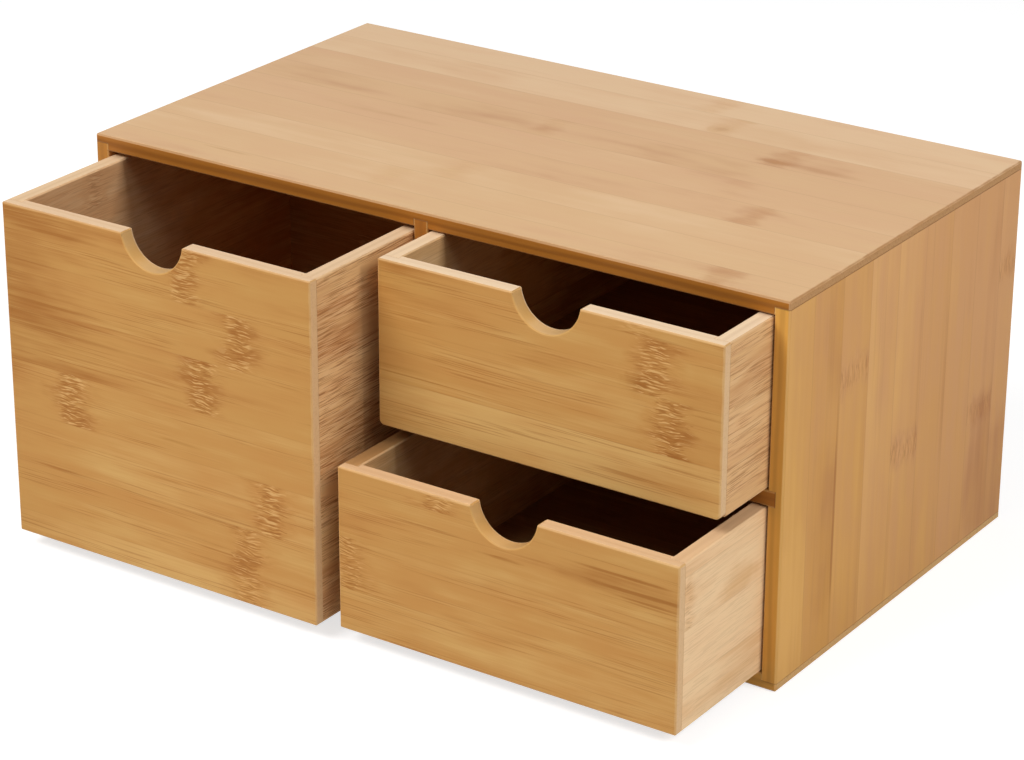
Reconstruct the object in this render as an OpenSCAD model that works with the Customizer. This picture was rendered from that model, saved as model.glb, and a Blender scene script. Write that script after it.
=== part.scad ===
// Desktop mini drawers in solid bamboo board. A rabbeted case is divided into a
// left bay with one tall drawer and a right bay with two low drawers on a shelf.
// The drawers have no pulls: each front has a round finger notch in its top edge.
// They run on the case's own boards and are drawn as far out as they stand open.
// Millimetres. The origin is the middle of the case's underside, +Z is up and
// the drawers pull out towards -Y.

/* [Case] */
// Width of the case
case_w = 350; // [310:1:420]
// Depth of the case, front to back
case_d = 200; // [170:1:260]
// Height of the case
case_h = 170; // [150:1:220]
// Thickness of the case's boards
board_t = 7; // [6:0.5:10]
// How deep a board is let into the board that it meets
housing_d = 3.5; // [2:0.25:4.5]
// Thickness of the back panel
back_t = 4; // [3:0.5:6]
// Clear width of the left bay, for the tall drawer
left_bay_w = 164.5; // [130:0.5:190]
// Clear height of the lower right bay, under the shelf
lower_bay_h = 74.5; // [50:0.5:85]

/* [Drawers] */
// Thickness of a drawer's front, sides and back
drawer_t = 7.5; // [6:0.5:9]
// Thickness of the lip at a front's ends, which laps over the drawer's sides
front_lip = 4.5; // [3:0.25:5.5]
// Radius of the two lower corners of the upper front, which is sanded rounder
upper_corner_r = 2.5; // [2:0.25:3.5]
// How deep the drawer's back is let into the sides
back_housing_d = 3.5; // [2:0.25:4.5]
// Thickness of a drawer's bottom panel
bottom_t = 3; // [2:0.5:5]
// Depth of the grooves that hold the bottom panel
groove_d = 3; // [2:0.25:4]
// Height of the grooves over the drawer's lower edge
groove_z = 4; // [3:0.5:8]

/* [Finger notch] */
// Radius of the notch's arc
notch_r = 16; // [10:0.5:22]
// Height of the arc's centre over the front's top edge
notch_rise = 1.8; // [0.2:0.1:4]

/* [Clearances] */
// Gap between a drawer and each side of its bay
side_gap = 0.6; // [0.3:0.05:1.5]
// Running gap under a drawer
run_gap = 0.3; // [0.2:0.05:0.8]
// Gap over each low drawer
low_top_gap = 0.7; // [0.4:0.1:3]
// Gap over the tall drawer
tall_top_gap = 2.2; // [0.4:0.1:4]
// Gap between a closed drawer and the back panel
rear_gap = 1; // [0.3:0.1:4]
// Play of a thin panel at each edge of its groove or rabbet
panel_play = 0.25; // [0.1:0.05:0.6]

/* [Eased edges] */
// Width of the case's eased outer arrises
case_ease = 0.8; // [0.3:0.1:1.5]
// Width of the eased arrises round the mouths of the bays
mouth_ease = 0.5; // [0.2:0.1:1]
// Width of the drawers' eased arrises
drawer_ease = 0.6; // [0.2:0.1:1]

/* [Standing open] */
// How far the tall drawer stands out of the case
tall_open = 70; // [0:1:150]
// How far the upper drawer stands out of the case
upper_open = 36; // [0:1:150]
// How far the lower drawer stands out of the case
lower_open = 65; // [0:1:150]

/* [Hidden] */
$fn = 96;

// The case's outer faces, and the faces that bound its bays
front_y = -case_d / 2;
rear_y = case_d / 2;
panel_y = rear_y - back_t;
left_x = -case_w / 2;
right_x = case_w / 2;
ceiling_z = case_h - board_t;
bay_left_x = left_x + board_t;
bay_right_x = right_x - board_t;
divider_left_x = bay_left_x + left_bay_w;
divider_right_x = divider_left_x + board_t;
shelf_z = board_t + lower_bay_h;
shelf_top_z = shelf_z + board_t;

// The height range of every upright that is let into the top and the bottom
upright_low_z = board_t - housing_d;
upright_high_z = ceiling_z + housing_d;

// The drawers' outer sizes, all but their shared depth by name of the bay
drawer_d = panel_y - front_y - rear_gap;
tall_w = left_bay_w - 2 * side_gap;
low_w = bay_right_x - divider_right_x - 2 * side_gap;
tall_h = ceiling_z - board_t - run_gap - tall_top_gap;
lower_h = lower_bay_h - run_gap - low_top_gap;
upper_h = ceiling_z - shelf_top_z - run_gap - low_top_gap;

// Half the width of the notch where its arc meets the front's top edge
notch_half_w = sqrt(notch_r * notch_r - notch_rise * notch_rise);

top_wood = "BurlyWood";
edge_wood = "Peru";
box_wood = "Wheat";
panel_wood = "Tan";

// A box between two opposite corners
module block(low, high) {
    translate(low) cube(high - low);
}

// A rectangle from the origin with its corners cut back at 45 degrees
module eased_rect(w, h, ease) {
    polygon([
        [ease, 0], [w - ease, 0], [w, ease], [w, h - ease],
        [w - ease, h], [ease, h], [0, h - ease], [0, ease]
    ]);
}

// A box from the origin with all twelve arrises eased
module eased_box(size, ease) {
    intersection() {
        linear_extrude(size.z) eased_rect(size.x, size.y, ease);
        translate([0, size.y, 0]) rotate([90, 0, 0])
            linear_extrude(size.y) eased_rect(size.x, size.z, ease);
        rotate([90, 0, 90])
            linear_extrude(size.x) eased_rect(size.y, size.z, ease);
    }
}

// The side view of a mouth that flares out over its last stretch below z = 0
module flare_outline(opening, ease) {
    half = opening / 2;
    polygon([
        [-half, -ease], [half, -ease],
        [half + 2 * ease, ease], [-half - 2 * ease, ease]
    ]);
}

// What easing takes off the arrises of a w by h mouth that opens upwards at z = 0
module flare(w, h, ease) {
    intersection() {
        rotate([90, 0, 0])
            linear_extrude(h + 4 * ease, center = true) flare_outline(w, ease);
        rotate([90, 0, 90])
            linear_extrude(w + 4 * ease, center = true) flare_outline(h, ease);
    }
}

// ---------------------------------------------------------------- the case

// The glued-up case from outside, as one eased box
module case_outline() {
    translate([left_x, front_y, 0]) eased_box([case_w, case_d, case_h], case_ease);
}

// A side board, let into the rabbets of the top and the bottom
module side_blank(x) {
    block([x, front_y, upright_low_z], [x + board_t, rear_y, upright_high_z]);
}

module divider_blank() {
    block([divider_left_x, front_y, upright_low_z], [divider_right_x, panel_y, upright_high_z]);
}

module shelf_blank() {
    block(
        [divider_right_x - housing_d, front_y, shelf_z],
        [bay_right_x + housing_d, panel_y, shelf_top_z]
    );
}

// The back panel's place in its rabbets, less some play at each edge
module back_blank(play) {
    edge = housing_d - play;
    block(
        [bay_left_x - edge, panel_y, board_t - edge],
        [bay_right_x + edge, rear_y, ceiling_z + edge]
    );
}

// What easing takes off round the mouth of one bay
module mouth_easing(x0, x1, z0, z1) {
    translate([(x0 + x1) / 2, front_y, (z0 + z1) / 2]) rotate([90, 0, 0])
        flare(x1 - x0, z1 - z0, mouth_ease);
}

module mouth_easings() {
    mouth_easing(bay_left_x, divider_left_x, board_t, ceiling_z);
    mouth_easing(divider_right_x, bay_right_x, board_t, shelf_z);
    mouth_easing(divider_right_x, bay_right_x, shelf_top_z, ceiling_z);
}

// The top or bottom board between two heights, with its rabbets and housings
module level_board(low_z, high_z) {
    difference() {
        intersection() {
            case_outline();
            block([left_x, front_y, low_z], [right_x, rear_y, high_z]);
        }
        side_blank(left_x);
        side_blank(bay_right_x);
        divider_blank();
        back_blank(0);
        mouth_easings();
    }
}

// A side board with the rabbet for the back panel
module side_board(x) {
    difference() {
        intersection() {
            case_outline();
            side_blank(x);
        }
        back_blank(0);
        mouth_easings();
    }
}

module case_top() {
    color(top_wood) level_board(ceiling_z, case_h);
}

module case_bottom() {
    color(edge_wood) level_board(0, board_t);
}

module case_left_side() {
    color(edge_wood) side_board(left_x);
}

module case_right_side() {
    color(edge_wood) difference() {
        side_board(bay_right_x);
        shelf_blank();
    }
}

module case_divider() {
    color(edge_wood) difference() {
        divider_blank();
        shelf_blank();
        mouth_easings();
    }
}

module case_shelf() {
    color(edge_wood) difference() {
        shelf_blank();
        mouth_easings();
    }
}

module case_back() {
    color(panel_wood) back_blank(panel_play);
}

// ------------------------------------------------------------- the drawers

// A drawer is drawn from the lower left corner of its front face, running back
// along +Y. These three put it in its bay, as far out as it stands open.
module place_tall() {
    translate([bay_left_x + side_gap, front_y - tall_open, board_t + run_gap]) children();
}

module place_upper() {
    translate([divider_right_x + side_gap, front_y - upper_open, shelf_top_z + run_gap]) children();
}

module place_lower() {
    translate([divider_right_x + side_gap, front_y - lower_open, board_t + run_gap]) children();
}

// A drawer's side, which butts against the rabbet behind the front's lip
module drawer_side_blank(x, h) {
    block([x, front_lip, 0], [x + drawer_t, drawer_d, h]);
}

// The drawer's back, let into the rear ends of both sides
module drawer_back_blank(w, h) {
    inset = drawer_t - back_housing_d;
    block([inset, drawer_d - drawer_t, 0], [w - inset, drawer_d, h]);
}

// The bottom panel's place in the grooves, less some play at each edge
module drawer_bottom_blank(w, play) {
    inset = drawer_t - groove_d + play;
    block([inset, inset, groove_z], [w - inset, drawer_d - inset, groove_z + bottom_t]);
}

// What easing takes off round the inside of the drawer's rim
module rim_easing(w, h) {
    translate([w / 2, drawer_d / 2, h])
        flare(w - 2 * drawer_t, drawer_d - 2 * drawer_t, drawer_ease);
}

// Cuts one board out of the eased outline of the whole drawer
module drawer_board(w, h) {
    difference() {
        intersection() {
            eased_box([w, drawer_d, h], drawer_ease);
            children();
        }
        rim_easing(w, h);
        drawer_bottom_blank(w, 0);
    }
}

// The finger notch through the front, with its arrises eased
module finger_notch(w, h) {
    translate([w / 2, 0, h + notch_rise]) rotate([-90, 0, 0]) {
        translate([0, 0, -drawer_ease]) cylinder(h = drawer_t + 2 * drawer_ease, r = notch_r);
        translate([0, 0, -drawer_ease])
            cylinder(h = 2 * drawer_ease, r1 = notch_r + 2 * drawer_ease, r2 = notch_r);
        translate([0, 0, drawer_t - drawer_ease])
            cylinder(h = 2 * drawer_ease, r1 = notch_r, r2 = notch_r + 2 * drawer_ease);
    }
    for (side = [-1, 1]) {
        translate([w / 2 + side * notch_half_w, drawer_t / 2, h]) rotate([0, 45, 0])
            cube([drawer_ease * sqrt(2), drawer_t + 2 * drawer_ease, drawer_ease * sqrt(2)],
                center = true);
    }
}

// What rounding takes off the two lower corners of a front, and easing off the arcs
module corner_rounding(w, r) {
    for (side = [-1, 1]) difference() {
        translate([w / 2 + side * w / 2, 0, 0])
            cube([2 * r, 4 * drawer_t, 2 * r], center = true);
        translate([w / 2 + side * (w / 2 - r), 0, r]) rotate([-90, 0, 0]) {
            translate([0, 0, drawer_ease]) cylinder(h = 3 * drawer_t, r = r);
            translate([0, 0, -drawer_ease])
                cylinder(h = 2 * drawer_ease, r1 = r - 2 * drawer_ease, r2 = r);
        }
    }
}

// A front with its notch. A corner_r of 0 leaves its lower corners only eased.
module drawer_front(w, h, corner_r = 0) {
    difference() {
        drawer_board(w, h) block([0, 0, 0], [w, drawer_t, h]);
        drawer_side_blank(0, h);
        drawer_side_blank(w - drawer_t, h);
        finger_notch(w, h);
        if (corner_r > 0) corner_rounding(w, corner_r);
    }
}

module drawer_side(x, w, h) {
    difference() {
        drawer_board(w, h) drawer_side_blank(x, h);
        drawer_back_blank(w, h);
    }
}

module drawer_left_side(w, h) {
    drawer_side(0, w, h);
}

module drawer_right_side(w, h) {
    drawer_side(w - drawer_t, w, h);
}

module drawer_back(w, h) {
    drawer_board(w, h) drawer_back_blank(w, h);
}

module tall_drawer_front() {
    color(top_wood) place_tall() drawer_front(tall_w, tall_h);
}

module tall_drawer_left_side() {
    color(box_wood) place_tall() drawer_left_side(tall_w, tall_h);
}

module tall_drawer_right_side() {
    color(box_wood) place_tall() drawer_right_side(tall_w, tall_h);
}

module tall_drawer_back() {
    color(box_wood) place_tall() drawer_back(tall_w, tall_h);
}

module tall_drawer_bottom() {
    color(panel_wood) place_tall() drawer_bottom_blank(tall_w, panel_play);
}

module upper_drawer_front() {
    color(top_wood) place_upper() drawer_front(low_w, upper_h, upper_corner_r);
}

module upper_drawer_left_side() {
    color(box_wood) place_upper() drawer_left_side(low_w, upper_h);
}

module upper_drawer_right_side() {
    color(box_wood) place_upper() drawer_right_side(low_w, upper_h);
}

module upper_drawer_back() {
    color(box_wood) place_upper() drawer_back(low_w, upper_h);
}

module upper_drawer_bottom() {
    color(panel_wood) place_upper() drawer_bottom_blank(low_w, panel_play);
}

module lower_drawer_front() {
    color(top_wood) place_lower() drawer_front(low_w, lower_h);
}

module lower_drawer_left_side() {
    color(box_wood) place_lower() drawer_left_side(low_w, lower_h);
}

module lower_drawer_right_side() {
    color(box_wood) place_lower() drawer_right_side(low_w, lower_h);
}

module lower_drawer_back() {
    color(box_wood) place_lower() drawer_back(low_w, lower_h);
}

module lower_drawer_bottom() {
    color(panel_wood) place_lower() drawer_bottom_blank(low_w, panel_play);
}

case_top();
case_bottom();
case_left_side();
case_right_side();
case_divider();
case_shelf();
case_back();
tall_drawer_front();
tall_drawer_left_side();
tall_drawer_right_side();
tall_drawer_back();
tall_drawer_bottom();
upper_drawer_front();
upper_drawer_left_side();
upper_drawer_right_side();
upper_drawer_back();
upper_drawer_bottom();
lower_drawer_front();
lower_drawer_left_side();
lower_drawer_right_side();
lower_drawer_back();
lower_drawer_bottom();
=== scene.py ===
"""Bamboo desktop chest: finishes, studio and camera.

Every board of the chest is laid up from bamboo strips glued side by side. Each board is described by
the way its strips lie and by one of a few bamboo finishes, and both together give its procedural
material. Lengths in the layups and finishes are millimetres, as a joiner gives them. Blender's own
lengths are metres.
"""

import logging
import math
import random
from collections.abc import Sequence
from dataclasses import dataclass, replace
from enum import Enum
from typing import TypeAlias

import bpy
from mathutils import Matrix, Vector


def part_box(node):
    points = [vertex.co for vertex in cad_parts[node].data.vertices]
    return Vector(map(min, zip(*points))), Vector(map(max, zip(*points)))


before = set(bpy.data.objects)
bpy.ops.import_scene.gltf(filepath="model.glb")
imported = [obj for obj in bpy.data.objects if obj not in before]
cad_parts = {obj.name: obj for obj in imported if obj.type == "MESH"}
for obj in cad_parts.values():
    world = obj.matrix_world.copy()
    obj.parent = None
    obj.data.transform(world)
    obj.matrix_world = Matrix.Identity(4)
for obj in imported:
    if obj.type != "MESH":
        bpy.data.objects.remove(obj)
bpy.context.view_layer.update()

log = logging.getLogger("desktop_chest")

MM = 0.001
STRIP_WIDTH = 23.4
STRIP_SHIFT = 41.3  # sets each strip's figure apart from the next, along the grain
BOARD_SHIFT = 97.0  # the same from one board's seed to the next
KNUCKLE_ROOM = 100.0  # how far past a board's ends its knuckles may lie

JOIN_GAP = 0.002  # split faces nearer than this are joined
FLAT_BEND = 0.6  # degrees below which two faces are one
ARRIS_BEND = 25.0  # degrees above which two faces meet at an arris

Colour: TypeAlias = tuple[float, float, float]
Row: TypeAlias = tuple[float, float, float, float]
Value: TypeAlias = "Wire | float | Colour"


def srgb(red: int, green: int, blue: int) -> Colour:
    """Turns a colour as it is seen into the linear one that shaders take.

    Args:
        red: red, 0 to 255.
        green: green, 0 to 255.
        blue: blue, 0 to 255.

    Returns:
        The linear colour, 0 to 1 each.
    """

    def linear(level: int) -> float:
        """Gives one channel's linear level."""
        part = level / 255
        return part / 12.92 if part <= 0.04045 else ((part + 0.055) / 1.055) ** 2.4

    return linear(red), linear(green), linear(blue)


class Axis(Enum):
    """A direction of the chest: X to the right, Y to the back, Z up."""

    X = 0
    Y = 1
    Z = 2


class Side(Enum):
    """The two sides of a drawer."""

    LEFT = "left"
    RIGHT = "right"


class Sanding(Enum):
    """How round sanding leaves the lines between a board's faces, as a width."""

    THIN = 0.12
    PLAIN = 0.16
    ROUND = 0.22


class Steps(Enum):
    """How a table goes from one row to the next."""

    SHARP = "CONSTANT"
    SOFT = "EASE"


# ---------------------------------------------------------------- laying nodes


@dataclass(frozen=True)
class Wire:
    """A number, a place or a colour on its way from one shader node to others.

    Attributes:
        bench: the bench on which it lies.
        socket: the output that it comes from.
    """

    bench: "Bench"
    socket: bpy.types.NodeSocket

    def __add__(self, other: Value) -> "Wire":
        """Adds to it."""
        return self.bench.math("ADD", self, other)

    def __sub__(self, other: Value) -> "Wire":
        """Takes away from it."""
        return self.bench.math("SUBTRACT", self, other)

    def __rsub__(self, other: float) -> "Wire":
        """Takes it away from a number."""
        return self.bench.math("SUBTRACT", other, self)

    def __mul__(self, other: Value) -> "Wire":
        """Multiplies it."""
        return self.bench.math("MULTIPLY", self, other)

    def __truediv__(self, other: Value) -> "Wire":
        """Divides it."""
        return self.bench.math("DIVIDE", self, other)

    def __abs__(self) -> "Wire":
        """Drops its sign."""
        return self.bench.math("ABSOLUTE", self)

    def lower(self, other: "Wire") -> "Wire":
        """Gives the lower of the two."""
        return self.bench.math("MINIMUM", self, other)

    def upper(self, other: "Wire") -> "Wire":
        """Gives the upper of the two."""
        return self.bench.math("MAXIMUM", self, other)

    def diagonal(self, other: "Wire") -> "Wire":
        """Gives the diagonal of the rectangle that has these two as its sides."""
        return self.bench.math("SQRT", self * self + other * other)

    def sway(self, amount: float) -> "Wire":
        """Turns noise about 0.5 into a swing about 0."""
        return (self - 0.5) * amount

    def ramp(self, low: float, high: float) -> "Wire":
        """Rises softly from 0 to 1 as it goes from low to high, or falls where low is over high.

        Args:
            low: where the answer is 0.
            high: where the answer is 1.

        Returns:
            The answer.
        """
        ends = (low, high, 0.0, 1.0) if low < high else (high, low, 1.0, 0.0)
        inputs = dict(enumerate((self, *ends)))
        return self.bench.lay("ShaderNodeMapRange", inputs, interpolation_type="SMOOTHSTEP")

    def glaze(self, colour: Value, share: Value) -> "Wire":
        """Lays a colour over it, 0 not at all to 1 fully."""
        return self.bench.mix(share, self, colour)

    def split(self) -> list["Wire"]:
        """Takes a place or a colour apart into its three numbers."""
        parts = self.bench.node("ShaderNodeSeparateXYZ", {0: self})
        return [Wire(self.bench, socket) for socket in parts.outputs]


class Bench:
    """A bench on which the shader nodes of a material or of the sky are laid and joined.

    Attributes:
        owner: the material or the world.
    """

    def __init__(self, owner: bpy.types.Material | bpy.types.World) -> None:
        """Clears the bench.

        Args:
            owner: the material or the world that the nodes are for.
        """
        self.owner = owner
        owner.use_nodes = True
        owner.node_tree.nodes.clear()

    def node(self, kind: str, inputs: dict[int | str, Value], **settings: object) -> bpy.types.Node:
        """Lays one node and joins its inputs.

        Args:
            kind: the node's type name.
            inputs: what its inputs take, by number or name: a wire, a number or a colour.
            **settings: values for the node's own properties.

        Returns:
            The new node.
        """
        made = self.owner.node_tree.nodes.new(kind)
        for key, setting in settings.items():
            setattr(made, key, setting)
        for key, value in inputs.items():
            if isinstance(value, Wire):
                self.owner.node_tree.links.new(value.socket, made.inputs[key])
            else:
                made.inputs[key].default_value = (*value, 1.0) if isinstance(value, tuple) else value
        return made

    def lay(
        self, kind: str, inputs: dict[int | str, Value], out: int | str = 0, **settings: object
    ) -> Wire:
        """Lays one node and takes the wire from one of its outputs, which is given by number or name."""
        return Wire(self, self.node(kind, inputs, **settings).outputs[out])

    def math(self, operation: str, *values: Value) -> Wire:
        """Works one sum, by Blender's name for it, from one to three values."""
        return self.lay("ShaderNodeMath", dict(enumerate(values)), operation=operation)

    def mix(self, share: Value, first: Value, second: Value) -> Wire:
        """Blends two colours, from all of the first at 0 to all of the second at 1."""
        return self.lay("ShaderNodeMix", {0: share, 6: first, 7: second}, 2, data_type="RGBA")

    def noise(self, place: Sequence[Value], detail: float = 2.0, rough: float = 0.5) -> Wire:
        """Gives soft noise about 0.5, one grain to each unit of the place.

        Args:
            place: the three numbers where it is looked up.
            detail: how many finer layers it has.
            rough: how strong the finer layers are.

        Returns:
            The noise.
        """
        spot = self.lay("ShaderNodeCombineXYZ", dict(enumerate(place)))
        inputs = {"Vector": spot, "Scale": 1.0, "Detail": detail, "Roughness": rough}
        return self.lay("ShaderNodeTexNoise", inputs)

    def table(self, place: Wire, rows: Sequence[Row], steps: Steps) -> bpy.types.Node:
        """Looks a row up in a table.

        Args:
            place: the place in the table, 0 at its first row to 1 at its end.
            rows: the rows, evenly spread.
            steps: how the table goes from one row to the next.

        Returns:
            The table's node.
        """
        made = self.node("ShaderNodeValToRGB", {0: place})
        made.color_ramp.interpolation = steps.value
        ramp = made.color_ramp.elements
        last = len(rows) if steps is Steps.SHARP else len(rows) - 1
        for index, row in enumerate(rows):
            step = ramp[index] if index < len(ramp) else ramp.new(index / last)
            step.position = index / last
            step.color = row
        return made


# ---------------------------------------------------------------- bamboo


@dataclass(frozen=True)
class Strip:
    """One bamboo strip of a board.

    Attributes:
        tone: how dark it is, 0 palest to 1 darkest.
        knuckle: where along the grain its knuckle begins, in the chest's own coordinate, or None.
        strength: how strongly the knuckle shows, 0 to 1.
        blush: how rosy it is, 0 golden to 1 rosy.
    """

    tone: float
    knuckle: float | None = None
    strength: float = 1.0
    blush: float = 0.3


@dataclass(frozen=True)
class Blot:
    """A soft darker place in a board.

    Attributes:
        along: its middle along the grain, in the chest's own coordinate.
        across: its middle across the grain.
        length: half its length.
        width: half its width.
        strength: how much darker it is, or paler where it is below 0.
        strip: number of the only strip that it darkens, or None for every one that it reaches.
    """

    along: float
    across: float
    length: float
    width: float
    strength: float = 0.3
    strip: int | None = None


@dataclass(frozen=True)
class Layup:
    """How the strips of one board lie.

    Attributes:
        along: the direction of the fibres.
        across: the direction in which the strips lie side by side.
        start: where the first strip begins, measured across.
        strips: the strips in order.
        width: a strip's width.
        seed: sets this board's own grain apart from the others'.
        darker_low_end: how much darker the board's low end is.
        flushed: how much rosier the board's high end is than its low end.
        lean: how much each strip darkens from its first edge to its second.
        drift: how much each strip's tone changes along its length.
        knuckle: how far a knuckle reaches along the grain.
        blots: the darker places.
    """

    along: Axis
    across: Axis
    start: float
    strips: tuple[Strip, ...]
    width: float = STRIP_WIDTH
    seed: int = 0
    darker_low_end: float = 0.0
    flushed: float = 0.0
    lean: float = 0.0
    drift: float = 0.12
    knuckle: float = 9.0
    blots: tuple[Blot, ...] = ()

    @classmethod
    def drawn(cls, node: str, along: Axis, across: Axis, seed: int, tone: float = 0.45) -> "Layup":
        """Draws strips by lot for a board on which no one strip matters.

        Args:
            node: the board's node.
            along: the direction of the fibres.
            across: the direction in which the strips lie side by side.
            seed: makes the lot the same at each run.
            tone: the board's middle tone.

        Returns:
            The layup.
        """
        lot = random.Random(seed)
        low, high = (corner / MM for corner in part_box(node))
        start = low[across.value] - lot.uniform(2.0, STRIP_WIDTH - 2.0)
        count = math.ceil((high[across.value] - start) / STRIP_WIDTH)
        strips = tuple(
            Strip(
                tone=min(1.0, max(0.0, lot.gauss(tone, 0.11))),
                knuckle=lot.uniform(low[along.value] - 90.0, high[along.value] + 60.0),
                strength=lot.uniform(0.5, 0.9),
                blush=lot.uniform(0.3, 0.6),
            )
            for _ in range(count)
        )
        return cls(along, across, start, strips, seed=seed)

    @property
    def depth(self) -> Axis:
        """The direction through the board."""
        return next(axis for axis in Axis if axis not in (self.along, self.across))


@dataclass(frozen=True)
class Tones:
    """A range of wood colours.

    Attributes:
        pale: the lightest.
        middle: the middle one.
        dark: the darkest.
    """

    pale: Colour
    middle: Colour
    dark: Colour

    def at(self, level: Wire) -> Wire:
        """Gives the colour of a tone, 0 palest to 1 darkest."""
        rows = [(*colour, 1.0) for colour in (self.pale, self.middle, self.dark)]
        return Wire(level.bench, level.bench.table(level, rows, Steps.SOFT).outputs[0])


@dataclass(frozen=True)
class Notch:
    """The round finger notch in a drawer's front.

    Attributes:
        middle: its middle, measured to the right.
        height: the height of its arc's centre.
        radius: its radius.
    """

    middle: float
    height: float
    radius: float = 16.0


class Grain:
    """The wood of one board as its fibres lie, in millimetres.

    Attributes:
        bench: where the nodes go.
        layup: how its strips lie.
        low: the board's lowest corner.
        high: the board's highest corner.
        place: the place in the chest, by direction.
        normal: the surface's own direction, by direction.
        along: the place along the fibres.
        across: the place across them.
        depth: the place through the board.
        number: which strip it is.
        inside: the place inside a strip, 0 to 1.
        shifted: the place along the fibres, set apart from strip to strip and board to board.
        wavy: the place across, with the fibres' waves in it.
        tone: how dark the strip is here.
        blush: how rosy the strip is.
        knuckle: how strongly the strip's knuckle shows here.
        halo: how strongly the wood round the knuckle is tinted here.
        fibres: the fine fibres, as noise about 0.5.
        bands: the broad bands along them, as noise about 0.5.
        flecks: the short slanting flecks of turned-up fibres, as noise about 0.5.
    """

    def __init__(self, bench: Bench, node: str, layup: Layup, reach: float) -> None:
        """Finds a board's fibres, strips and knuckles.

        Args:
            bench: where the nodes go.
            node: the board's node.
            layup: how its strips lie.
            reach: how far its fibres and bands run, 1 for the longest.
        """
        self.bench = bench
        self.layup = layup
        self.low, self.high = (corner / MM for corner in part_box(node))
        here = bench.lay("ShaderNodeTexCoord", {}, "Object")
        in_mm = {0: here, "Scale": 1 / MM}
        self.place = bench.lay("ShaderNodeVectorMath", in_mm, operation="SCALE").split()
        self.normal = bench.lay("ShaderNodeTexCoord", {}, "Normal").split()
        self.along = self.place[layup.along.value]
        self.across = self.place[layup.across.value]
        self.depth = self.place[layup.depth.value]
        strips = (self.across - layup.start) / layup.width
        self.number = bench.math("FLOOR", strips)
        self.inside = bench.math("FRACT", strips)
        self.shifted = self.along + (self.number * STRIP_SHIFT + BOARD_SHIFT * layup.seed)
        wander = bench.noise((self.shifted / 110.0, self.across / 26.0, 0.0), detail=1.0)
        self.wavy = self.across + wander.sway(2.0)
        self._look_up_strips()
        self.fibres = self.noise(60.0 * reach, 0.9, rough=0.6)
        self.bands = self.noise(220.0 * reach, 9.0, rough=0.55)
        depth = self.depth / 3.0
        slant = bench.noise((self.shifted / 9.0, self.across / 7.0, depth), detail=1.0)
        aside = (self.across + slant.sway(3.4)) / 0.62
        self.flecks = bench.noise((self.shifted / 5.5, aside, depth), detail=1.0, rough=0.4)

    def noise(self, long: float, wide: float, detail: float = 2.0, rough: float = 0.5) -> Wire:
        """Gives noise about 0.5 in grains of a length and a thickness, drawn out along the fibres."""
        place = (self.shifted / long, self.wavy / wide, self.depth / wide)
        return self.bench.noise(place, detail, rough)

    def facing(self, axis: Axis) -> Wire:
        """Marks the surfaces that face a direction or its opposite."""
        return abs(self.normal[axis.value]).ramp(0.75, 0.95)

    def arris(self, run: Axis | None) -> Wire:
        """Measures how far the nearest corner line of the board is.

        Args:
            run: the only direction in which corner lines count, or None for all three.

        Returns:
            The distance.
        """
        near = [self.near_end(axis) for axis in Axis if axis is not run]
        upper = near[0].upper(near[1])
        return upper if run else near[0].lower(near[1]).upper(upper.lower(near[2]))

    def near_end(self, axis: Axis) -> Wire:
        """Measures how far the board's nearer end is in one direction."""
        here = self.place[axis.value]
        return (here - self.low[axis.value]).lower(self.high[axis.value] - here)

    def _look_up_strips(self) -> None:
        """Reads each strip's tone, blush and knuckle from the layup."""
        bench, layup = self.bench, self.layup
        foot, head = self.low[layup.along.value], self.high[layup.along.value]
        low = foot - KNUCKLE_ROOM
        span = head + KNUCKLE_ROOM - low
        rows = [
            (strip.tone, 0.0, 0.0, strip.blush)
            if strip.knuckle is None
            else (strip.tone, (strip.knuckle - low) / span, strip.strength, strip.blush)
            for strip in layup.strips
        ]
        table = bench.table((self.number + 0.5) / len(rows), rows, Steps.SHARP)
        tone, begin, strength = Wire(bench, table.outputs[0]).split()
        change = bench.noise((self.shifted / 90.0, self.number * 5.3, 0.7), detail=1.0)
        self.tone = tone + change.sway(2.0 * layup.drift)
        self.blush = Wire(bench, table.outputs[1])
        # darkens the tone towards the board's low end
        if layup.darker_low_end:
            self.tone += self.along.ramp(foot + 70.0, foot - 10.0) * layup.darker_low_end
        if layup.flushed:
            self.blush += (self.along - 0.5 * (foot + head)) / (head - foot) * layup.flushed
        if layup.lean:
            self.tone += self.inside.sway(layup.lean)
        for blot in layup.blots:
            self.tone += self._blot(blot) * blot.strength
        self._mark_knuckle(self.along - (begin * span + low), strength)

    def _blot(self, blot: Blot) -> Wire:
        """Marks one darker place, whose outline is patchy.

        Args:
            blot: the place.

        Returns:
            The mark, 0 to 1.
        """
        run = (self.along - blot.along) / blot.length
        far = run.diagonal((self.across - blot.across) / blot.width)
        ragged = self.noise(0.55 * blot.length, 1.1 * blot.width)
        if blot.strip is None:
            return (far + ragged.sway(1.0)).ramp(1.2, 0.25)
        own = self.bench.math("COMPARE", self.number, float(blot.strip), 0.5)
        return (far + ragged.sway(0.6)).ramp(1.2, 0.6) * own

    def _mark_knuckle(self, run: Wire, strength: Wire) -> None:
        """Marks where the culm had its joint: a ragged band over the strip, in tinted wood.

        Args:
            run: the place along the grain, from where the knuckle begins.
            strength: how strongly the strip's knuckle shows.
        """
        bench, reach = self.bench, self.layup.knuckle
        bent = bench.noise((self.number * 7.7, self.across / 6.0, 0.4), rough=0.6)
        far = abs(bent.sway(0.8 * reach) + (run - 0.5 * reach))
        torn = bench.noise((self.along / 5.0, self.wavy / 1.3, self.number), rough=0.6)
        band = (far + torn.sway(1.3 * reach)).ramp(0.66 * reach, 0.26 * reach)
        self.knuckle = band * strength
        patchy = self.noise(16.0, 7.0)
        self.halo = (far + patchy.sway(2.0 * reach)).ramp(1.25 * reach, 0.2 * reach) * strength


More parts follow.
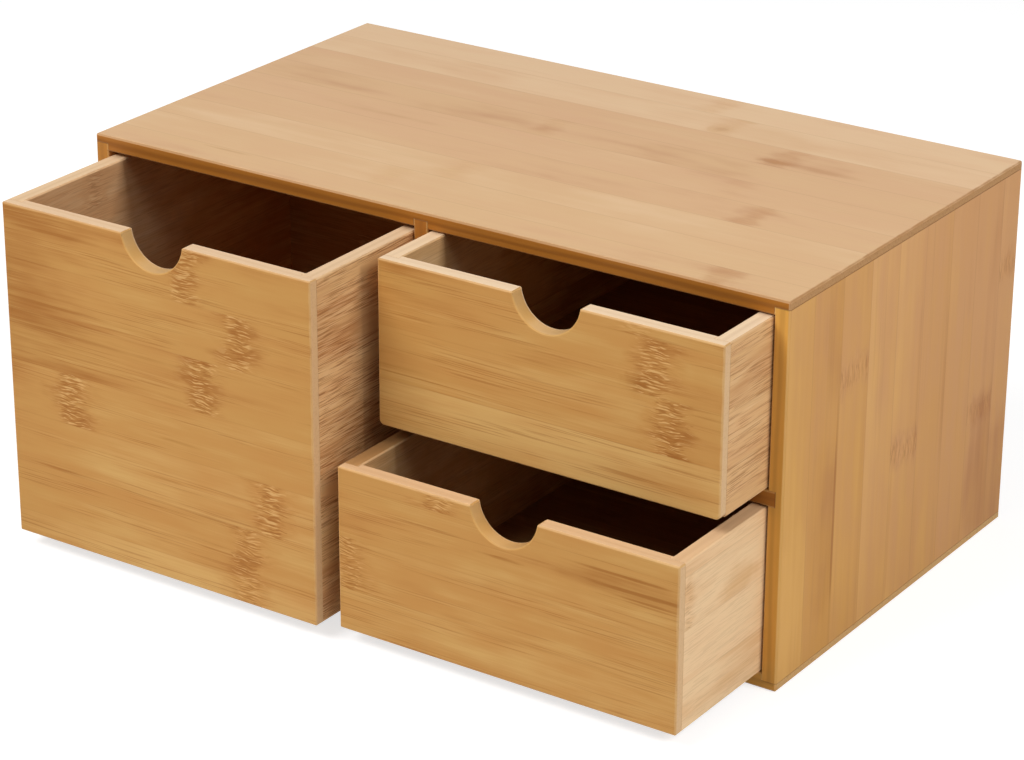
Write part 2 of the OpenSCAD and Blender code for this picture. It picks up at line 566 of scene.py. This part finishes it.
@dataclass(frozen=True)
class BambooFinish:
    """How a kind of bamboo board looks once it is planed or sawn and lacquered.

    Attributes:
        name: the finish's name.
        golden: the colours of golden strips.
        rosy: the colours of rosy strips.
        ink: the dark fibre lines and knuckle marks.
        edge: the boards' long edges.
        end: the end grain.
        fleck_highlight: the pale dashes inside a knuckle, a painted highlight where the raised fibres
            catch the light.
        arris: the corner lines: pale sanded wood with a painted highlight, and on the top a darker
            painted shade that hides the chamfer's highlight.
        cut: the wall of a finger notch.
        cloud: strength of the broad bands.
        mottle: strength of the soft patches.
        fibre: strength of the fine fibres.
        streak: strength of the long thin lines.
        line: thickness of those lines.
        reach: how far every figure runs along the grain, 1 for the longest.
        furrow: strength of the furrows that a coarse saw leaves.
        knuckle: strength of the tint round the knuckles.
        dashes: strength of the short dashes inside a knuckle.
        pores: strength of the pores in the end grain.
        layered: strength of the dark layer that shows in a long edge.
        arris_share: how far the corner lines' colour shows: sanded wood with its painted highlight, and
            on the top the painted shade.
        seam: how dark the joints at let-in ends are.
        gloss: how strongly the lacquer shines.
        roughness: the lacquer's roughness.
        relief: depth of the grain.
    """

    name: str
    golden: Tones
    rosy: Tones
    ink: Colour
    edge: Colour
    end: Colour
    fleck_highlight: Colour
    arris: Colour
    cut: Colour = srgb(198, 154, 92)
    cloud: float = 0.4
    mottle: float = 0.25
    fibre: float = 0.2
    streak: float = 0.4
    line: float = 0.9
    reach: float = 1.0
    furrow: float = 0.0
    knuckle: float = 0.5
    dashes: float = 0.7
    pores: float = 0.4
    layered: float = 0.1
    arris_share: float = 0.5
    seam: float = 0.6
    gloss: float = 0.16
    roughness: float = 0.5
    relief: float = 0.05

    def make(self, node: str, layup: Layup, notch: Notch | None, let_in: bool) -> bpy.types.Material:
        """Makes the material of one board.

        Args:
            node: the board's node, for its name and its corners.
            layup: how its strips lie.
            notch: the finger notch in it, if it has one.
            let_in: whether its ends are let into other boards.

        Returns:
            The board's own material.
        """
        bench = Bench(bpy.data.materials.new(f"{self.name} {node.replace('_', ' ')}"))
        grain = Grain(bench, node, layup, self.reach)
        dark, light = self._lines(grain)
        colour = self._wood(grain)
        colour = colour.glaze(self.golden.pale, light * 0.7).glaze(self.ink, dark)
        colour = self._turn_up_fibres(grain, colour)
        joint = grain.inside.lower(1.0 - grain.inside) * layup.width
        colour = colour.glaze(self.ink, joint.ramp(0.45, 0.05) * 0.14)
        colour = self._dress_faces(grain, colour)
        if notch:
            colour = self._cut_notch(grain, colour, notch)
        colour = self._colour_arrises_and_seams(grain, colour, let_in)

        height = grain.fibres * 0.3 - dark - grain.flecks * grain.knuckle * 1.2
        shine = grain.fibres * 0.12 + (self.roughness - 0.06) + (dark + grain.knuckle) * 0.08
        self._lacquer(bench, colour, shine, height)
        return bench.owner

    def _lines(self, grain: Grain) -> tuple[Wire, Wire]:
        """Draws the thin lines along the grain, which lie in loose bundles: fibre lines and saw furrows.

        Args:
            grain: the board's wood.

        Returns:
            The dark lines' strength and the light lines', 0 to 1.
        """
        thin = grain.noise(95.0 * self.reach, self.line, rough=0.55)
        bundle = grain.noise(150.0 * self.reach, 6.0, detail=1.0).ramp(0.45, 0.6)
        dark = thin.ramp(0.54, 0.64) * bundle * self.streak
        light = thin.ramp(0.45, 0.36) * bundle * self.streak
        if self.furrow:
            cut = grain.noise(12.0, 0.4, detail=1.0, rough=0.4)
            where = grain.noise(40.0, 9.0, detail=1.0).ramp(0.24, 0.52) * self.furrow
            dark = dark.upper(cut.ramp(0.53, 0.61) * where)
            light = light.upper(cut.ramp(0.47, 0.4) * where * 0.8)
        return dark, light

    def _wood(self, grain: Grain) -> Wire:
        """Colours the plain wood between the marks.

        Args:
            grain: the board's wood.

        Returns:
            The colour.
        """
        patches = grain.noise(38.0, 11.0)
        level = grain.tone + grain.bands.sway(2.0 * self.cloud) + patches.sway(2.0 * self.mottle)
        level += grain.fibres.sway(2.0 * self.fibre) + grain.halo * self.knuckle
        blush = patches + grain.bands - 1.0 + (grain.halo * 0.3 + grain.blush)
        return self.golden.at(level).glaze(self.rosy.at(level), blush)

    def _turn_up_fibres(self, grain: Grain, colour: Wire) -> Wire:
        """Draws the short fibres that turn up in the knuckles: dark dashes, and beside them pale ones
        that are a painted highlight on the raised fibres.

        Args:
            grain: the board's wood.
            colour: the wood's colour.

        Returns:
            The colour.
        """
        where = grain.knuckle.upper(grain.halo * 0.4) * self.dashes
        colour = colour.glaze(self.ink, grain.flecks.ramp(0.53, 0.65) * where * 0.8)
        # painted highlight on the raised fibres
        return colour.glaze(self.fleck_highlight, grain.flecks.ramp(0.46, 0.36) * where)

    def _dress_faces(self, grain: Grain, colour: Wire) -> Wire:
        """Gives the long edges, which show a dark layer, and the end grain their own colours.

        Args:
            grain: the board's wood.
            colour: the colour of the broad faces.

        Returns:
            The colour.
        """
        bench, depth = grain.bench, grain.layup.depth.value
        middle = 0.5 * (grain.low[depth] + grain.high[depth])
        layer = abs(grain.depth - (grain.bands.sway(5.0) + middle)).ramp(1.6, 0.3)
        edge = bench.mix(layer * self.layered, self.edge, self.ink)
        edge = edge.glaze(self.golden.dark, grain.fibres.ramp(0.45, 0.75) * 0.08)
        end = bench.mix(grain.fibres.ramp(0.5, 0.65) * self.pores, self.end, self.ink)
        colour = colour.glaze(edge, grain.facing(grain.layup.across) * 0.98)
        return colour.glaze(end, grain.facing(grain.layup.along) * 0.98)

    def _cut_notch(self, grain: Grain, colour: Wire, notch: Notch) -> Wire:
        """Colours the wall of the finger notch, which is paler at the board's rear.

        Args:
            grain: the board's wood.
            colour: the wood's colour.
            notch: the notch.

        Returns:
            The colour.
        """
        far = (grain.place[0] - notch.middle).diagonal(grain.place[2] - notch.height)
        wall = far.ramp(notch.radius + 0.7, notch.radius + 0.2)
        rear = (grain.high[1] - grain.place[1]).ramp(1.5, 0.7)
        return colour.glaze(self.cut, wall * 0.8).glaze(self.edge, rear * wall * 0.7)

    def _colour_arrises_and_seams(self, grain: Grain, colour: Wire, let_in: bool) -> Wire:
        """Paints the corner lines unevenly, as sanded wood with a painted highlight and on the top as
        painted shade, and darkens the joints at let-in ends.

        Args:
            grain: the board's wood.
            colour: the wood's colour.
            let_in: whether the board's ends are let into other boards.

        Returns:
            The colour.
        """
        off = grain.arris(grain.layup.along if let_in else None) + grain.bands.sway(1.0)
        # the corner lines' colour: sanded wood and painted highlight, on the top painted shade
        colour = colour.glaze(self.arris, off.ramp(1.0, 0.35) * self.arris_share)
        if let_in and self.seam:
            gap = grain.near_end(grain.layup.along).ramp(0.5, 0.15)
            colour = colour.glaze(self.ink, gap * self.seam)
        return colour

    def _lacquer(self, bench: Bench, colour: Wire, shine: Wire, height: Wire) -> None:
        """Puts the clear satin lacquer over the wood.

        Args:
            bench: where the nodes go.
            colour: the wood's colour.
            shine: the roughness.
            height: the grain's height, 0 to 1.
        """
        raised = {"Strength": 0.7, "Distance": self.relief * MM, "Height": height}
        coated = {
            "Base Color": colour,
            "Roughness": shine,
            "Normal": bench.lay("ShaderNodeBump", raised),
            "Specular IOR Level": self.gloss,
        }
        lacquer = bench.lay("ShaderNodeBsdfPrincipled", coated)
        bench.node("ShaderNodeOutputMaterial", {"Surface": lacquer})


CASE_TOP = BambooFinish(
    name="planed top bamboo",
    golden=Tones(srgb(217, 183, 144), srgb(206, 168, 124), srgb(176, 132, 86)),
    rosy=Tones(srgb(217, 179, 142), srgb(206, 163, 125), srgb(178, 128, 86)),
    ink=srgb(112, 60, 16),
    edge=srgb(167, 104, 34),
    end=srgb(175, 130, 80),
    fleck_highlight=srgb(224, 186, 140),
    # painted shade: darker than the faces, to hide the highlight that the chamfer catches
    arris=srgb(158, 108, 58),
    cloud=0.14,
    mottle=0.2,
    fibre=0.02,
    streak=0.04,
    knuckle=0.24,
    dashes=0.08,
    layered=0.45,
    pores=0.25,
    reach=0.6,
    gloss=0.12,
    arris_share=0.7,
    roughness=0.48,
    relief=0.02,
)

CASE_BOARD = BambooFinish(
    name="planed case bamboo",
    golden=Tones(srgb(212, 161, 86), srgb(197, 143, 68), srgb(166, 109, 42)),
    rosy=Tones(srgb(212, 162, 109), srgb(198, 145, 92), srgb(168, 110, 60)),
    ink=srgb(112, 68, 34),
    edge=srgb(218, 161, 76),
    end=srgb(200, 158, 98),
    fleck_highlight=srgb(216, 168, 108),
    # pale sanded arrises with a painted highlight on them
    arris=srgb(220, 176, 112),
    cloud=0.26,
    mottle=0.18,
    fibre=0.03,
    streak=0.06,
    line=3.0,
    knuckle=0.22,
    dashes=0.4,
    pores=0.25,
    layered=0.2,
    arris_share=0.42,
    roughness=0.48,
    relief=0.025,
)

DRAWER_FRONT = BambooFinish(
    name="planed front bamboo",
    golden=Tones(srgb(206, 163, 98), srgb(191, 142, 76), srgb(160, 106, 46)),
    rosy=Tones(srgb(208, 157, 97), srgb(190, 133, 70), srgb(160, 100, 40)),
    ink=srgb(148, 90, 34),
    edge=srgb(217, 184, 147),
    end=srgb(211, 174, 130),
    fleck_highlight=srgb(214, 168, 106),
    arris=srgb(218, 180, 130),
    cloud=0.3,
    mottle=0.22,
    fibre=0.15,
    streak=0.42,
    line=0.62,
    reach=0.5,
    knuckle=0.28,
    dashes=0.8,
    pores=0.12,
    arris_share=0.4,
)

DRAWER_BOX = BambooFinish(
    name="sawn drawer bamboo",
    golden=Tones(srgb(232, 199, 155), srgb(210, 168, 115), srgb(172, 124, 72)),
    rosy=Tones(srgb(232, 192, 148), srgb(211, 160, 111), srgb(176, 118, 70)),
    ink=srgb(122, 72, 32),
    edge=srgb(218, 186, 148),
    end=srgb(208, 168, 124),
    fleck_highlight=srgb(236, 200, 152),
    arris=srgb(228, 194, 152),
    cloud=0.34,
    reach=0.5,
    fibre=0.16,
    streak=0.06,
    furrow=0.55,
    knuckle=0.3,
    dashes=0.6,
    arris_share=0.35,
    seam=0.0,
    roughness=0.62,
    relief=0.07,
)

# Darker than the other finishes, as painted shade: the drawer bottoms lie deep in the drawers.
SHADED_THIN_PANEL = BambooFinish(
    name="thin panel bamboo",
    golden=Tones(srgb(190, 146, 92), srgb(168, 122, 72), srgb(136, 90, 48)),
    rosy=Tones(srgb(190, 144, 98), srgb(168, 120, 78), srgb(136, 88, 52)),
    ink=srgb(96, 58, 30),
    edge=srgb(168, 122, 74),
    end=srgb(150, 102, 58),
    fleck_highlight=srgb(196, 152, 100),
    arris=srgb(188, 144, 96),
    cloud=0.35,
    fibre=0.3,
    streak=0.2,
    furrow=0.12,
    reach=0.6,
    knuckle=0.3,
    dashes=0.3,
    roughness=0.62,
)

# The back panel is seen from outside, so its faces and long edges take the case's own colours in place
# of that painted shade.
BACK_PANEL = replace(SHADED_THIN_PANEL, golden=CASE_BOARD.golden, rosy=CASE_BOARD.rosy, edge=CASE_BOARD.end)


# ---------------------------------------------------------------- boards


@dataclass(frozen=True)
class Board:
    """One board of the chest.

    Attributes:
        node: its node in the frame.
        finish: how it looks.
        layup: how its strips lie.
        notch: its finger notch, if it has one.
        let_in: whether its ends are let into other boards.
        sanding: how round its arrises are.
    """

    node: str
    finish: BambooFinish
    layup: Layup
    notch: Notch | None = None
    let_in: bool = False
    sanding: Sanding = Sanding.PLAIN

    def dress(self) -> bpy.types.Object:
        """Rounds the board's arrises and gives it its material.

        Returns:
            The board's object.
        """
        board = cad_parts[self.node]
        joined = board.modifiers.new("joined faces", "WELD")
        joined.merge_threshold = JOIN_GAP * MM
        flat = board.modifiers.new("clean faces", "DECIMATE")
        flat.decimate_type = "DISSOLVE"
        flat.angle_limit = math.radians(FLAT_BEND)
        soft = board.modifiers.new("sanded arrises", "BEVEL")
        soft.width = self.sanding.value * MM
        soft.segments = 2
        soft.limit_method = "ANGLE"
        soft.angle_limit = math.radians(ARRIS_BEND)
        soft.use_clamp_overlap = False
        soft.loop_slide = False
        material = self.finish.make(self.node, self.layup, self.notch, self.let_in)
        if board.material_slots:
            for place in board.material_slots:
                place.material = material
        else:
            board.data.materials.append(material)
        return board


@dataclass
class Case:
    """The rabbeted case with its divider, shelf and back.

    Attributes:
        left: the left end of the case.
        top_start: where the first strip of the top board begins, measured to the back.
        top_strip: width of the strips in the top board.
        side_start: where the first strip of a side board begins, measured to the back.
        inner_edge: colour of the front edges of the divider and the shelf.
        shaded_edge: colour of the left side's front edge.
    """

    left: float = -175.0
    top_start: float = -105.8
    top_strip: float = 22.87
    side_start: float = -103.4
    inner_edge: Colour = srgb(168, 105, 40)
    shaded_edge: Colour = srgb(180, 120, 48)

    def build(self) -> list[bpy.types.Object]:
        """Dresses every board of the case."""
        boards = [self.top(), self.bottom(), *self.sides(), self.divider(), self.shelf(), self.back()]
        return [board.dress() for board in boards]

    def top(self) -> Board:
        """Lays the strips of the top board, from the front edge to the back.

        Returns:
            The board.
        """
        left = self.left
        strips = (
            Strip(0.50, left + 309, 0.7, 0.2),
            Strip(0.41, left + 134, 0.5, 0.1),
            Strip(0.35, left + 153, 0.7, 0.1),
            Strip(0.50, left + 286, 0.75, 0.4),
            Strip(0.46, left + 262, 0.2, 0.5),
            Strip(0.50, left + 154, 0.5, 0.4),
            Strip(0.44, left + 261, 0.6, 0.5),
            Strip(0.16, left + 219, 0.5, 0.3),
            Strip(0.06, left + 202, 0.6, 0.2),
        )
        blots = (
            Blot(-112, -85, 18, 1.3, 0.22),
            Blot(150, -84, 70, 34, 0.1),
            Blot(-88, -6, 44, 2.2, 0.14),
            Blot(-98, -2, 34, 15, 0.08, 4),
            Blot(115, 2, 64, 14, 0.1, 4),
            Blot(-142, 20, 36, 15, 0.1, 5),
            Blot(-56, 17, 38, 14, 0.1, 5),
            Blot(60, 19, 36, 14, 0.12, 5),
            Blot(98, 42, 28, 15, 0.1, 6),
            Blot(87, 36.5, 9, 3.4, 0.3),
            Blot(112, 37.5, 30, 3, 0.16),
            Blot(47, 61, 6, 4.6, 0.34),
            Blot(52, 76, 7, 2.4, 0.22),
            Blot(68, 62, 30, 12, 0.1, 7),
        )
        layup = Layup(Axis.X, Axis.Y, self.top_start, strips, self.top_strip, seed=3, blots=blots)
        return Board("case_top", CASE_TOP, layup, sanding=Sanding.ROUND)

    def bottom(self) -> Board:
        """Gives the bottom board."""
        return Board("case_bottom", CASE_BOARD, Layup.drawn("case_bottom", Axis.X, Axis.Y, 11))

    def sides(self) -> tuple[Board, Board]:
        """Lays the strips of the two side boards, from the front edge to the back.

        Returns:
            The left and the right board.
        """
        strips = (
            Strip(0.32, blush=0.1),
            Strip(0.54, blush=0.25),
            Strip(0.42, 117.0, 0.9, 0.4),
            Strip(0.32, blush=0.6),
            Strip(0.34, 66.0, 1.0, 0.6),
            Strip(0.40, blush=0.6),
            Strip(0.44, blush=0.8),
            Strip(0.52, 59.0, 0.5, 0.9),
            Strip(0.48, 119.0, 0.7, 0.9),
        )
        blots = (
            Blot(56, -66, 46, 18, 0.17, 1),
            Blot(142, -62, 34, 6, 0.12, 1),
            Blot(70, -57.6, 70, 1.0, 0.24),
            Blot(60, -35.2, 70, 2.4, 0.18),
            Blot(34, -8.5, 36, 1.4, 0.26),
            Blot(104, 11.8, 60, 2.2, 0.22),
            Blot(28, 15.4, 34, 2.6, 0.2),
            Blot(100, 36, 60, 2.6, 0.16),
            Blot(22, 80, 50, 34, 0.2),
            Blot(30, -88, 50, 24, -0.12),
        )
        start = self.side_start
        layup = Layup(Axis.Z, Axis.Y, start, strips, seed=5, flushed=0.5, lean=0.1, blots=blots)
        left = Layup.drawn("case_left_side", Axis.Z, Axis.Y, 17)
        shaded = replace(CASE_BOARD, edge=self.shaded_edge)
        return (
            Board("case_left_side", shaded, left, let_in=True),
            Board("case_right_side", CASE_BOARD, layup, let_in=True),
        )

    def divider(self) -> Board:
        """Gives the divider, whose fibres stand upright."""
        layup = Layup.drawn("case_divider", Axis.Z, Axis.Y, 23, tone=0.6)
        return Board("case_divider", replace(CASE_BOARD, edge=self.inner_edge), layup, let_in=True)

    def shelf(self) -> Board:
        """Gives the shelf."""
        layup = Layup.drawn("case_shelf", Axis.X, Axis.Y, 29, tone=0.7)
        return Board("case_shelf", replace(CASE_BOARD, edge=self.inner_edge), layup, let_in=True)

    def back(self) -> Board:
        """Gives the thin back panel."""
        layup = Layup.drawn("case_back", Axis.X, Axis.Z, 31)
        return Board("case_back", BACK_PANEL, layup, sanding=Sanding.THIN)


@dataclass
class Drawer:
    """A drawer: a front with a finger notch, two sides, a back and a thin bottom.

    Attributes:
        name: its body in the frame.
        strips: the strips of its front, from the lowest up.
        start: the height at which the lowest of them begins.
        middle: the notch's middle, measured to the right.
        seed: sets its boards' grain apart from the other drawers'.
        left_strips: the strips of its left side, from the lowest up.
        left_light_and_shade: painted light on its left side just behind the case's front, and painted
            shade further back, where the case shades the drawer.
        right_strips: the strips of its right side, from the lowest up.
        darker_low_end: how much darker the left end of its front is.
        furrow: how strongly saw furrows show on its right side.
        inner_furrow: how strongly they show on its left side and its back.
        rim: colour of its front's and right side's top edges.
        left_rim: colour of its left side's top edge.
        front_blots: the darker places in its front.
        right_blots: the darker places in its right side.
        front_strip: width of the strips in its front.
        notch_rise: how far the notch's centre lies over the front's top edge.
        trimmed: how much of a side's lowest strip was sawn off.
    """

    name: str
    strips: tuple[Strip, ...]
    start: float
    middle: float
    seed: int
    left_strips: tuple[Strip, ...]
    left_light_and_shade: tuple[Blot, ...]
    right_strips: tuple[Strip, ...]
    darker_low_end: float = 0.2
    furrow: float = 0.56
    inner_furrow: float = 0.2
    rim: Colour = DRAWER_FRONT.edge
    left_rim: Colour = DRAWER_BOX.edge
    front_blots: tuple[Blot, ...] = ()
    right_blots: tuple[Blot, ...] = ()
    front_strip: float = 23.65
    notch_rise: float = 1.8
    trimmed: float = 3.0

    def build(self) -> list[bpy.types.Object]:
        """Dresses every board of the drawer."""
        boards = [self.front(), self.side(Side.LEFT), self.side(Side.RIGHT), self.back(), self.bottom()]
        return [board.dress() for board in boards]

    def front(self) -> Board:
        """Lays the strips of the front board.

        Returns:
            The board with its notch.
        """
        node = f"{self.name}_front"
        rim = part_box(node)[1].z / MM
        width, darker_low_end, blots = self.front_strip, self.darker_low_end, self.front_blots
        layup = Layup(
            Axis.X, Axis.Z, self.start, self.strips, width, self.seed, darker_low_end, knuckle=13.0, blots=blots
        )
        finish = replace(DRAWER_FRONT, edge=self.rim)
        notch = Notch(self.middle, rim + self.notch_rise)
        return Board(node, finish, layup, notch, sanding=Sanding.ROUND)

    def side(self, hand: Side) -> Board:
        """Lays the strips of one side board.

        Args:
            hand: which side.

        Returns:
            The board.
        """
        node = f"{self.name}_{hand.value}_side"
        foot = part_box(node)[0].z / MM - self.trimmed
        if hand is Side.LEFT:
            # the left side's blots are painted light and painted shade inside the case
            strips, blots, seed = self.left_strips, self.left_light_and_shade, self.seed + 1
            layup = Layup(Axis.Y, Axis.Z, foot, strips, seed=seed, blots=blots)
            finish = replace(DRAWER_BOX, furrow=self.inner_furrow, edge=self.left_rim)
        else:
            strips, blots, seed = self.right_strips, self.right_blots, self.seed + 2
            layup = Layup(Axis.Y, Axis.Z, foot, strips, seed=seed, knuckle=5.0, blots=blots)
            finish = replace(DRAWER_BOX, furrow=self.furrow, edge=self.rim)
        return Board(node, finish, layup, let_in=True)

    def back(self) -> Board:
        """Gives the back board.

        Returns:
            The board.
        """
        node = f"{self.name}_back"
        # tone 0.9 darkens the back board as painted shade deep in the drawer
        layup = Layup.drawn(node, Axis.X, Axis.Z, self.seed + 3, tone=0.9)
        return Board(node, replace(DRAWER_BOX, furrow=self.inner_furrow), layup, let_in=True)

    def bottom(self) -> Board:
        """Gives the thin bottom panel.

        Returns:
            The board.
        """
        node = f"{self.name}_bottom"
        layup = Layup.drawn(node, Axis.X, Axis.Y, self.seed + 4)
        return Board(node, SHADED_THIN_PANEL, layup, sanding=Sanding.THIN)


def drawers() -> list[Drawer]:
    """Gives the three drawers with the strips of their fronts, from the lowest strip up.

    Returns:
        The drawers.
    """
    left, right = -167.4, 4.1  # the left ends of the fronts in the two bays
    tall = Drawer(
        name="tall_drawer",
        start=-5.1,
        middle=-85.75,
        seed=40,
        darker_low_end=0.24,
        furrow=0.6,
        strips=(
            Strip(0.25, left + 121, 0.8),
            Strip(0.37, left + 121, 0.8),
            Strip(0.33, left + 134, 1.0),
            Strip(0.43, left + 28, 1.0),
            Strip(0.55, left + 99, 1.0),
            Strip(0.52, left + 119, 0.9),
            Strip(0.54, left + 92, 0.8),
        ),
        front_blots=(
            Blot(left + 24, 116, 40, 12, 0.07),
            Blot(left + 60, 118.6, 80, 0.9, 0.2),
            Blot(left + 50, 107, 70, 0.9, 0.18),
            Blot(left + 30, 152, 30, 1.0, 0.16),
            Blot(left + 40, 43, 32, 1.0, 0.22),
            Blot(left + 92, 72.8, 17, 0.8, 0.3),
            Blot(left + 118, 25, 16, 12, 0.10),
        ),
        left_strips=(
            *(Strip(tone, blush=0.9) for tone in (0.6, 0.5, 0.6, 0.5, 0.5, 0.44)),
            Strip(0.4, -124.0, 0.6, 1.0),
        ),
        # painted light just behind the case's front, painted shade further back
        left_light_and_shade=(Blot(-78, 135, 30, 60, -0.25), Blot(14, 130, 60, 110, 0.4)),
        right_strips=tuple(Strip(tone, blush=0.4) for tone in (0.5, 0.6, 0.5, 0.65, 0.55, 0.7, 0.6)),
    )
    upper = Drawer(
        name="upper_drawer",
        start=86.5,
        middle=85.75,
        seed=50,
        left_strips=4 * (Strip(0.4, blush=0.0),),
        # painted light just behind the case's front, painted shade further back
        left_light_and_shade=(Blot(-72, 140, 24, 40, -0.3), Blot(14, 130, 66, 70, 0.4)),
        rim=srgb(226, 198, 164),
        left_rim=srgb(226, 196, 160),
        furrow=0.44,
        strips=(
            Strip(0.12, blush=0.1),
            Strip(0.42, right + 134, 1.0),
            Strip(0.47, right + 125, 1.0),
            Strip(0.44, right + 117, 0.5),
        ),
        front_blots=(
            Blot(right + 124, 137, 8, 5, 0.28),
            Blot(right + 79, 137, 25, 5, 0.15),
            Blot(right + 152, 126, 22, 22, 0.14),
            # painted light: paler at the front's left end, standing in for warm light bounced off the
            # tall drawer's side
            Blot(right + 2, 124, 16, 34, -0.06),
        ),
        right_strips=tuple(Strip(tone, blush=0.4) for tone in (0.55, 0.5, 0.65, 0.5)),
    )
    lower = Drawer(
        name="lower_drawer",
        start=2.6,
        middle=85.75,
        seed=60,
        darker_low_end=0.06,
        left_strips=4 * (Strip(0.45, blush=0.0),),
        # painted light just behind the case's front, painted shade further back
        left_light_and_shade=(Blot(-85, 55, 26, 40, -0.25), Blot(14, 50, 70, 70, 0.5)),
        # the front's and right side's top edges: their pale colour, darkened as painted shade under the
        # upper drawer
        rim=srgb(212, 175, 134),
        # painted shade: the left side's top edge, darkened where the tall and upper drawers shade it
        left_rim=srgb(168, 127, 80),
        strips=(Strip(0.34), Strip(0.42, right - 3, 0.9), Strip(0.46), Strip(0.46, right + 44, 0.95)),
        front_blots=(
            Blot(right + 137, 65, 45, 9, 0.28),
            Blot(right + 135, 69.8, 34, 0.8, 0.26),
            Blot(right + 146, 64, 27, 1.0, 0.3),
            Blot(right + 152, 60.8, 20, 0.8, 0.26),
            Blot(right + 80, 61.5, 13, 1.0, 0.28),
            Blot(right + 38, 36, 15, 7, 0.1),
        ),
        furrow=0.13,
        right_strips=(
            Strip(0.1, blush=0.3),
            Strip(0.02),
            Strip(0.08, -160.0, 0.5),
            Strip(0.15, blush=0.5),
        ),
        right_blots=(Blot(-119, 58, 18, 9, 0.22),),
    )
    return [tall, upper, lower]


# ---------------------------------------------------------------- studio


@dataclass(frozen=True)
class Softbox:
    """One soft studio lamp, in metres and watts.

    Attributes:
        name: its name.
        place: where it hangs.
        aim: what it points at.
        width: its width.
        height: its height.
        power: its power.
    """

    name: str
    place: tuple[float, float, float]
    aim: tuple[float, float, float]
    width: float
    height: float
    power: float

    def hang(self) -> None:
        """Hangs the lamp."""
        data = bpy.data.lights.new(self.name, "AREA")
        data.shape = "RECTANGLE"
        data.size, data.size_y = self.width, self.height
        data.energy = self.power
        lamp = bpy.data.objects.new(self.name, data)
        bpy.context.scene.collection.objects.link(lamp)
        lamp.location = self.place
        lamp.rotation_euler = (Vector(self.aim) - Vector(self.place)).to_track_quat("-Z", "Y").to_euler()


@dataclass
class Studio:
    """A white table under soft lamps, and the camera. Lengths are metres.

    Attributes:
        table_size: width of the white table.
        paper: how pale the table is to the chest.
        seen_paper: how pale it is to the camera, under the lamps.
        glow: how brightly it also shines for the camera.
        sky: strength of the light from all round.
        softboxes: the lamps.
        camera_place: where the camera stands.
        camera_turn: how it is turned, in degrees.
        film: width of its film, in millimetres.
        lens: its focal length, in millimetres.
        sight: how far it sees.
    """

    table_size: float = 8.0
    paper: Colour = (0.8, 0.8, 0.8)
    seen_paper: Colour = (0.5, 0.5, 0.5)
    glow: float = 0.7
    sky: float = 0.17
    softboxes: tuple[Softbox, ...] = (
        Softbox("overhead softbox", (-0.1, -0.1, 1.6), (0.0, 0.0, 0.1), 1.2, 1.0, 1.3),
        Softbox("front softbox", (-0.6, -1.2, 1.38), (0.0, 0.0, 0.08), 1.1, 0.6, 25.7),
        Softbox("right softbox", (1.4, -0.02, 1.2), (0.1, 0.0, 0.08), 0.5, 0.66, 14.0),
        Softbox("fill softbox", (1.15, -0.6, 1.15), (0.0, -0.1, 0.08), 0.4, 0.4, 2.2),
    )
    camera_place: tuple[float, float, float] = (0.75888, -1.15441, 0.65064)
    camera_turn: tuple[float, float, float] = (66.839, -0.236, 34.171)
    film: float = 36.0
    lens: float = 118.28
    sight: float = 50.0

    def build(self) -> None:
        """Sets up the table, the lamps, the light from all round and the camera."""
        self.lay_floor()
        self.light_sky()
        for box in self.softboxes:
            box.hang()
        self.stand_camera()
        bpy.context.scene.view_settings.view_transform = "Standard"

    def lay_floor(self) -> None:
        """Lays the white table, which keeps the chest's shadow."""
        half = self.table_size / 2
        mesh = bpy.data.meshes.new("white_table")
        corners = [(-half, -half, 0.0), (half, -half, 0.0), (half, half, 0.0), (-half, half, 0.0)]
        mesh.from_pydata(corners, [], [(0, 1, 2, 3)])
        floor = bpy.data.objects.new("white_table", mesh)
        bpy.context.scene.collection.objects.link(floor)
        bench = Bench(bpy.data.materials.new("white table"))
        paper = bench.lay("ShaderNodeBsdfDiffuse", {"Color": self.paper})
        seen = bench.lay("ShaderNodeBsdfDiffuse", {"Color": self.seen_paper})
        glow = bench.lay("ShaderNodeEmission", {"Strength": self.glow})
        both = bench.lay("ShaderNodeAddShader", {0: seen, 1: glow})
        surface = bench.lay("ShaderNodeMixShader", {0: self.seen_rays(bench), 1: paper, 2: both})
        bench.node("ShaderNodeOutputMaterial", {"Surface": surface})
        mesh.materials.append(bench.owner)

    def seen_rays(self, bench: Bench) -> Wire:
        """Picks out what the camera sees, straight or in a shine.

        Args:
            bench: where the nodes go.

        Returns:
            1 for such a ray, else 0.
        """
        rays = (f"Is {kind} Ray" for kind in ("Camera", "Glossy", "Transmission"))
        camera, glossy, through = (bench.lay("ShaderNodeLightPath", {}, ray) for ray in rays)
        return camera.upper(glossy.upper(through))

    def light_sky(self) -> None:
        """Lights the studio evenly from all round, white where it is seen."""
        world = bpy.data.worlds.new("white studio")
        bench = Bench(world)
        levels = {"Value": self.seen_rays(bench), "To Min": self.sky, "To Max": 1.0}
        level = bench.lay("ShaderNodeMapRange", levels)
        light = bench.lay("ShaderNodeBackground", {"Color": (1.0, 1.0, 1.0), "Strength": level})
        bench.node("ShaderNodeOutputWorld", {"Surface": light})
        bpy.context.scene.world = world

    def stand_camera(self) -> None:
        """Stands the camera at its place."""
        data = bpy.data.cameras.new("studio camera")
        data.sensor_width = self.film
        data.lens = self.lens
        data.clip_end = self.sight
        camera = bpy.data.objects.new("studio camera", data)
        bpy.context.scene.collection.objects.link(camera)
        camera.location = self.camera_place
        camera.rotation_euler = [math.radians(turn) for turn in self.camera_turn]
        bpy.context.scene.camera = camera


def main() -> None:
    """Sets up the studio and dresses the case and the drawers, one after the other."""
    logging.basicConfig(level=logging.INFO, format="%(name)s: %(message)s")
    Studio().build()
    log.info("studio is set up")
    for sub_assembly in (Case(), *drawers()):
        for piece in sub_assembly.build():
            log.info("%s is dressed", piece.name)


if __name__ == "__main__":
    main()
